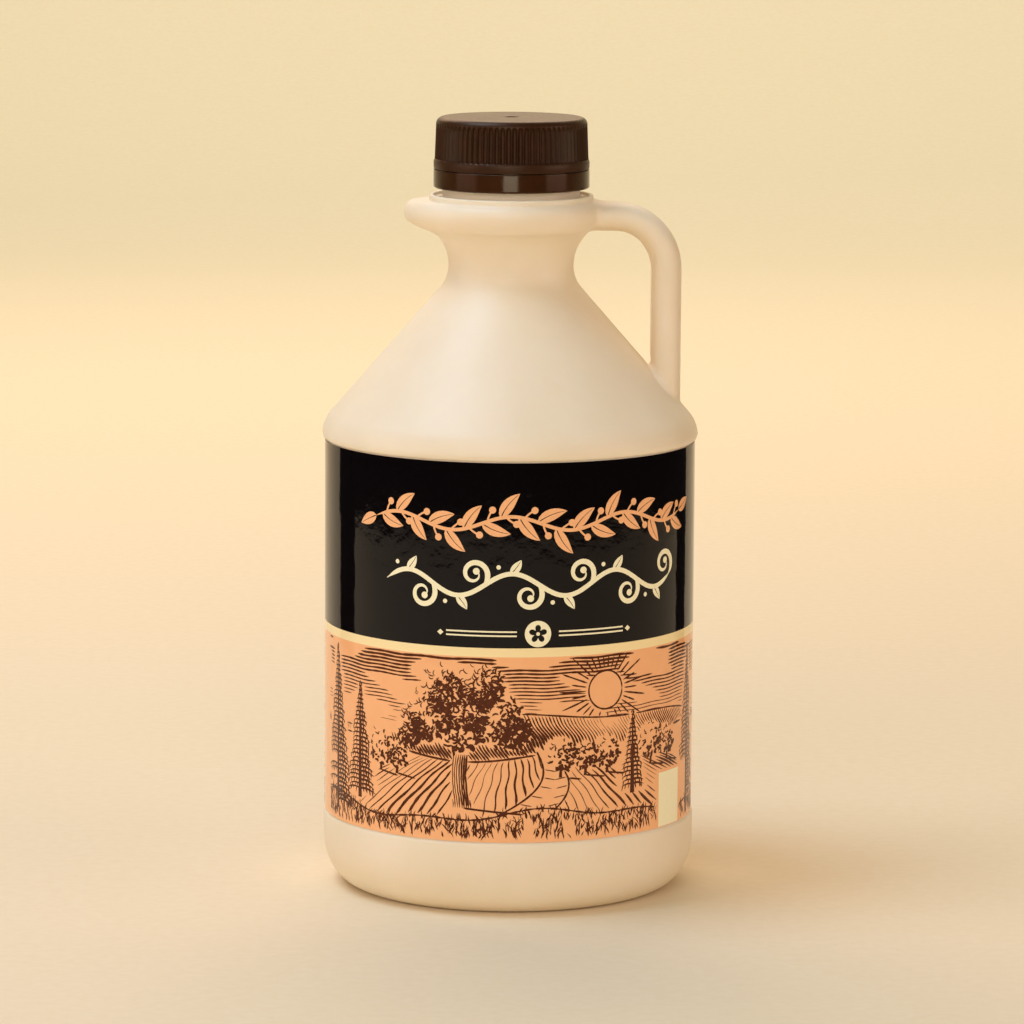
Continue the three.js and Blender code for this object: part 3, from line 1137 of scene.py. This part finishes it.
def makeLabelPrint():
    material, nodes, links, shader, coords = newMaterial("labelPrint")
    uv = nodes.new("ShaderNodeUVMap")
    uv.uv_map = "labelMap"
    split = nodes.new("ShaderNodeSeparateXYZ")
    links.new(uv.outputs["UV"], split.inputs["Vector"])
    height = split.outputs["Y"]
    aboveStripe = addAbove(nodes, links, height, labelSize["stripeHigh"] / mapTall)
    abovePeach = addAbove(nodes, links, height, labelSize["stripeLow"] / mapTall)
    mottle = addNoise(nodes, links, coords, 260, 3)
    peach = addRamp(nodes, links, mottle, [(0.3, srgb(249, 183, 126)), (0.7, srgb(252, 188, 132))])
    lower = addMix(nodes, links, abovePeach, peach, srgb(253, 231, 172))
    inkBlack = srgb(10, 7, 9)
    links.new(addMix(nodes, links, aboveStripe, lower, inkBlack), shader.inputs["Base Color"])
    addGloss(nodes, links, coords, shader)
    return material


def addGloss(nodes, links, coords, shader):
    # the glued paper isn't quite flat, and its gloss has a fine grain
    for key, value in labelGloss.items():
        shader.inputs[key].default_value = value
    slow = addBump(nodes, links, addNoise(nodes, links, coords, 60, 2), 0.14, 0.001)
    fine = addBump(nodes, links, addNoise(nodes, links, coords, 420, 2), 0.05, 0.0004, slow)
    links.new(fine, shader.inputs["Normal"])


def makeInk(name, light, dark):
    # printed on the same paper, so it takes the same gloss
    material, nodes, links, shader, coords = newMaterial(name)
    addTone(nodes, links, coords, shader, 900, 4, [(0.35, dark), (0.65, light)])
    addGloss(nodes, links, coords, shader)
    return material


def makeLabelEdge():
    material, nodes, links, shader, coords = newMaterial("labelEdge")
    stops = [(0.3, srgb(232, 218, 196)), (0.7, srgb(246, 236, 218))]
    addTone(nodes, links, coords, shader, 1500, 4, stops)
    shader.inputs["Roughness"].default_value = 0.7
    return material


def dress(piece, materials, slotName, *nodesReplaced):
    piece.data.materials.clear()
    for material in materials:
        piece.data.materials.append(material)
    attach(piece, "root")
    if nodesReplaced:
        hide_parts(*nodesReplaced)


dress(jug, [makeJugCream()], "jug", "jug")
dress(cap, [makeCapBrown("capBrown", 0.3, 0.42, 0.1)], "cap", "cap")
dress(tamperBand, [makeCapBrown("bandBrown", 0.1, 0.16, 0.02)], "tamper_band", "tamper_band")
dress(label, [makeLabelPrint(), makeLabelEdge()], "label", "label")
inkSet = {
    "peach": makeInk("inkPeach", srgb(253, 191, 136), srgb(250, 186, 130)),
    "cream": makeInk("inkCream", srgb(254, 246, 206), srgb(252, 243, 198)),
    "brown": makeInk("inkBrown", srgb(92, 41, 11), srgb(74, 30, 6)),
}
for ink, material in inkSet.items():
    dress(printFront[ink], [material], "label")
    dress(printBack[ink], [material], "label")
print("finishes on")


# pale floor, backdrop and soft studio light

floorSize = {"front": -6000, "back": 1700, "side": 5000, "bend": 1300, "tall": 1600}
lightSet = {
    # place, looks at, wide, tall, power, colour
    "key": ((-560, -120, 1270), (0, 0, 100), 700, 700, 7.4, (0.82, 1.0, 1.32)),
    "front": ((-250, -1700, 800), (0, 0, 100), 1400, 900, 9.6, (1.12, 1.0, 1.04)),
    "left": ((-1400, -500, 450), (0, 0, 100), 1000, 800, 3.1, (1.35, 1.0, 1.0)),
    "right": ((1400, -500, 450), (0, 0, 100), 1000, 800, 3.9, (1.35, 1.0, 1.0)),
    "back": ((-200, 1100, 1000), (0, 0, 120), 1200, 800, 5.0, (1.5, 1.0, 0.72)),
    "backdrop": ((0, 1500, 1800), (0, 2700, 300), 2600, 700, 29.0, (1.0, 0.97, 0.92)),
    "capBox": ((-40, -1750, 60), (0, 0, 60), 640, 70, 1.3, (1.0, 0.97, 0.92)),
}
worldLight = {"color": (1.0, 0.97, 0.6), "strength": 0.185}
cardSet = {
    # from and to, degrees round from the front, radius, tall
    "cardRound": (-128, 128, 700, 80),
    "cardLeft": (-123.5, -106, 400, 150),
    "cardRight": (121.5, 135.5, 400, 150),
}


def makeFloor():
    f = floorSize
    startClean()
    bpy.ops.mesh.primitive_plane_add(size=1)
    floor = bpy.context.object
    floor.name = "floor"
    bpy.ops.object.mode_set(mode="EDIT")
    mesh = bmesh.from_edit_mesh(floor.data)
    for vertex in mesh.verts:
        vertex.co.x = math.copysign(f["side"], vertex.co.x) * mm
        vertex.co.y = (f["back"] if vertex.co.y > 0 else f["front"]) * mm
    for edge in mesh.edges:
        edge.select_set(all(v.co.y > 0 for v in edge.verts))
    mesh.select_flush_mode()
    bmesh.update_edit_mesh(floor.data)
    # the back edge sweeps up into a backdrop
    steps = 16
    for i in range(steps):
        a0, a1 = rad(90) * i / steps, rad(90) * (i + 1) / steps
        move = Vector((0, math.sin(a1) - math.sin(a0), math.cos(a0) - math.cos(a1))) * f["bend"] * mm
        bpy.ops.mesh.extrude_region_move(TRANSFORM_OT_translate={"value": move})
    bpy.ops.mesh.extrude_region_move(TRANSFORM_OT_translate={"value": (0, 0, f["tall"] * mm)})
    bpy.ops.mesh.select_all(action="SELECT")
    bpy.ops.mesh.normals_make_consistent(inside=False)
    bpy.ops.object.mode_set(mode="OBJECT")
    bpy.ops.object.shade_smooth()
    material, nodes, links, shader, coords = newMaterial("floorPaper")
    stops = [(0.3, srgb(236, 219, 184)), (0.7, srgb(239, 223, 190))]
    addTone(nodes, links, coords, shader, 300, 3, stops)
    shader.inputs["Roughness"].default_value = 0.85
    floor.data.materials.append(material)


def makeCards():
    # low black cards outside the picture and hidden from the camera, for the label's gloss to mirror
    material, nodes, links, shader, coords = newMaterial("cardBlack")
    shader.inputs["Base Color"].default_value = srgb(14, 12, 12)
    shader.inputs["Roughness"].default_value = 0.9
    for name, (fromDeg, toDeg, radius, tall) in cardSet.items():
        steps = max(8, int((toDeg - fromDeg) / 3))
        turns = [rad(fromDeg + (toDeg - fromDeg) * i / steps) for i in range(steps + 1)]
        points = [(math.sin(t) * radius * mm, -math.cos(t) * radius * mm) for t in turns]
        low = [(x, y, 0) for x, y in points]
        high = [(x, y, tall * mm) for x, y in points]
        faces = [(i, i + 1, i + steps + 2, i + steps + 1) for i in range(steps)]
        card = newPiece(name, low + high, faces)
        card.data.materials.append(material)
        card.visible_camera = False
        card.visible_diffuse = False
        card.visible_shadow = False


def makeLights():
    for name, (place, target, wide, tall, power, color) in lightSet.items():
        data = bpy.data.lights.new(name, "AREA")
        data.shape = "RECTANGLE"
        data.size = wide * mm
        data.size_y = tall * mm
        data.energy = power
        data.color = color
        light = bpy.data.objects.new(name, data)
        bpy.context.scene.collection.objects.link(light)
        light.visible_camera = False
        light.location = Vector(place) * mm
        aim = (Vector(target) - Vector(place)).to_track_quat("-Z", "Y")
        light.rotation_euler = aim.to_euler()
    world = bpy.data.worlds.new("studio")
    world.use_nodes = True
    background = next(n for n in world.node_tree.nodes if n.type == "BACKGROUND")
    background.inputs["Color"].default_value = (*worldLight["color"], 1)
    background.inputs["Strength"].default_value = worldLight["strength"]
    bpy.context.scene.world = world


makeFloor()
makeCards()
makeLights()
bpy.context.scene.view_settings.view_transform = "Standard"
print("studio lit")
